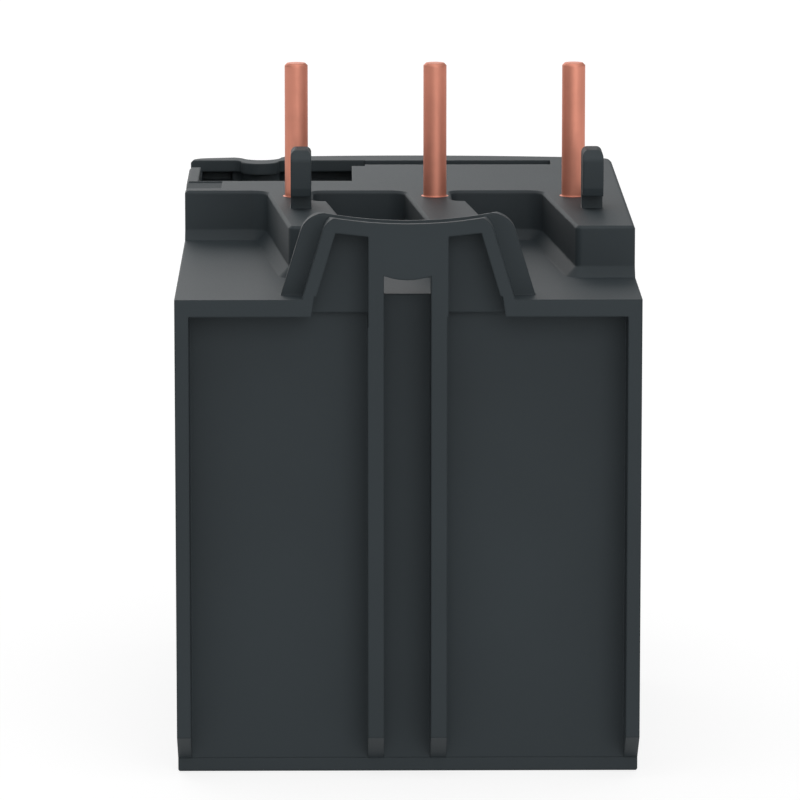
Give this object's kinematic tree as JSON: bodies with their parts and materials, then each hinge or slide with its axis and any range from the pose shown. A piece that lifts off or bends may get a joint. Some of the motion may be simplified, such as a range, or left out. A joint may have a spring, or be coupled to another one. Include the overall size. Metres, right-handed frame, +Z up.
{
  "type": "thermal overload relay",
  "caption": "Plug-in bimetallic motor overload relay: dark housing with copper plug pins on top, hook tongue behind, clear-covered controls and terminal steps in front.",
  "frame": {"origin": "centre of the overall box at the bottom face", "axes": "+Z up along the plug pins, -Y towards the terminals and controls, +X to the right seen from the front"},
  "size_m": [0.045, 0.07, 0.066],
  "materials": {
    "housing_plastic": "matt dark grey moulded polyamide, fine spark texture",
    "terminal_plastic": "matt dark grey moulded polyamide",
    "copper": "bare drawn copper",
    "zinc_steel": "zinc plated steel",
    "clear_plastic": "clear polycarbonate",
    "panel_plastic": "matt grey moulded plastic",
    "dial_white": "satin white plastic",
    "button_blue": "satin blue plastic",
    "button_red": "satin red plastic",
    "button_black": "satin black plastic",
    "natural_plastic": "unfilled natural plastic",
    "bimetal": "rolled bimetal strip",
    "heater_alloy": "resistance ribbon",
    "contact_brass": "bare brass with silver contact buttons",
    "spring_steel": "spring steel",
    "flag_orange": "bright signal plastic"
  },
  "bodies": {
    "housing": {"main_housing": "housing_plastic", "bottom_cover": "housing_plastic", "power_terminal_block": "terminal_plastic", "auxiliary_terminal_block": "terminal_plastic", "power_terminal_screws": "zinc_steel", "power_clamp_plates": "zinc_steel", "auxiliary_terminal_screws": "zinc_steel", "auxiliary_clamp_plates": "zinc_steel", "control_panel": "panel_plastic", "mechanism_base": "natural_plastic", "trip_pivot_pin": "zinc_steel", "setting_pivot_pin": "zinc_steel", "snap_spring": "spring_steel", "nc_fixed_contact": "contact_brass", "nc_blade_terminal": "contact_brass", "no_fixed_contact": "contact_brass", "no_blade_terminal": "contact_brass", "reset_spring": "spring_steel", "stop_spring": "spring_steel", "test_spring": "spring_steel", "plug_pin_l1": "copper", "plug_pin_l2": "copper", "plug_pin_l3": "copper", "bimetal_strip_l1": "bimetal", "bimetal_strip_l2": "bimetal", "bimetal_strip_l3": "bimetal", "heater_winding_l1": "heater_alloy", "heater_winding_l2": "heater_alloy", "heater_winding_l3": "heater_alloy", "load_terminal_l1": "copper", "load_terminal_l2": "copper", "load_terminal_l3": "copper"},
    "clear_cover": {"clear_cover": "clear_plastic"},
    "current_dial": {"current_dial": "dial_white"},
    "setting_lever": {"setting_lever": "natural_plastic"},
    "reset_mode_selector": {"reset_mode_selector": "button_blue"},
    "reset_button": {"reset_button": "button_blue"},
    "stop_button": {"stop_button": "button_red"},
    "test_button": {"test_button": "button_black"},
    "trip_slide": {"trip_slide": "natural_plastic"},
    "differential_slide": {"differential_slide": "natural_plastic"},
    "differential_lever": {"differential_lever": "natural_plastic"},
    "trip_lever": {"trip_lever": "natural_plastic", "compensation_bimetal": "bimetal"},
    "contact_carrier": {"contact_carrier": "natural_plastic"},
    "trip_flag": {"trip_flag": "flag_orange"},
    "nc_contact_blade": {"nc_contact_blade": "contact_brass"},
    "no_contact_blade": {"no_contact_blade": "contact_brass"}
  },
  "joints": [
    {"name": "cover_hinge", "type": "hinge", "parent": "housing", "child": "clear_cover", "pos_m": [-0.0181, -0.0332, 0.038], "axis": [0, 0, -1], "range_deg": [0, 110]},
    {"name": "dial_turn", "type": "hinge", "parent": "housing", "child": "current_dial", "pos_m": [-0.0096, -0.025, 0.038], "axis": [0, 1, 0], "range_deg": [0, 250]},
    {"name": "setting_swing", "type": "hinge", "parent": "housing", "child": "setting_lever", "pos_m": [-0.0012, -0.013, 0.0464], "axis": [0, -1, 0], "range_deg": [0, 8.21]},
    {"name": "selector_turn", "type": "hinge", "parent": "housing", "child": "reset_mode_selector", "pos_m": [0.0134, -0.028, 0.0342], "axis": [0, -1, 0], "range_deg": [0, 90]},
    {"name": "reset_push", "type": "slide", "parent": "housing", "child": "reset_button", "axis": [0, 1, 0], "range_m": [0, 0.002], "stiffness_N_per_m": 400, "springref_m": -0.001, "deforming": ["reset_spring"]},
    {"name": "stop_push", "type": "slide", "parent": "housing", "child": "stop_button", "axis": [0, 1, 0], "range_m": [0, 0.002], "stiffness_N_per_m": 400, "springref_m": -0.001, "deforming": ["stop_spring"]},
    {"name": "test_push", "type": "slide", "parent": "housing", "child": "test_button", "axis": [0, 1, 0], "range_m": [0, 0.0015], "stiffness_N_per_m": 300, "springref_m": -0.001, "deforming": ["test_spring"]},
    {"name": "trip_travel", "type": "slide", "parent": "housing", "child": "trip_slide", "axis": [1, 0, 0], "range_m": [0, 0.0016], "stiffness_N_per_m": 500, "springref_m": -0.0005},
    {"name": "differential_travel", "type": "slide", "parent": "housing", "child": "differential_slide", "axis": [1, 0, 0], "range_m": [0, 0.00097]},
    {"name": "differential_swing", "type": "hinge", "parent": "trip_slide", "child": "differential_lever", "pos_m": [0.0152, 0.0124, 0.0418], "axis": [0, 0, 1], "range_deg": [0, 14.2]},
    {"name": "trip_lever_swing", "type": "hinge", "parent": "housing", "child": "trip_lever", "pos_m": [0.0174, -0.0108, 0.0425], "axis": [0, 0, -1], "range_deg": [0, 5.05]},
    {"name": "carrier_travel", "type": "slide", "parent": "housing", "child": "contact_carrier", "axis": [1, 0, 0], "range_m": [0, 0.00091], "deforming": ["snap_spring"]},
    {"name": "flag_swing", "type": "hinge", "parent": "housing", "child": "trip_flag", "pos_m": [-0.0015, -0.024, 0.031], "axis": [0, 1, 0], "range_deg": [0, 24.1]},
    {"name": "nc_blade_swing", "type": "hinge", "parent": "housing", "child": "nc_contact_blade", "pos_m": [-0.0157, -0.022, 0.0318], "axis": [0, 1, 0], "range_deg": [0, 14.1]},
    {"name": "no_blade_swing", "type": "hinge", "parent": "housing", "child": "no_contact_blade", "pos_m": [0.0073, -0.022, 0.0318], "axis": [0, 1, 0], "range_deg": [0, 14.1]}
  ],
  "couplings": [
    {"joint": "setting_swing", "follows": "dial_turn", "ratio": 0.0328},
    {"joint": "differential_travel", "follows": "trip_travel", "ratio": 0.6},
    {"joint": "differential_swing", "follows": "trip_travel", "rad_per_m": 153.85},
    {"joint": "trip_lever_swing", "follows": "trip_travel", "rad_per_m": 54.542},
    {"joint": "carrier_travel", "follows": "trip_travel", "ratio": 0.5625},
    {"joint": "flag_swing", "follows": "trip_travel", "rad_per_m": 261.8},
    {"joint": "nc_blade_swing", "follows": "trip_travel", "rad_per_m": 152.72},
    {"joint": "no_blade_swing", "follows": "trip_travel", "rad_per_m": 152.72}
  ]
}
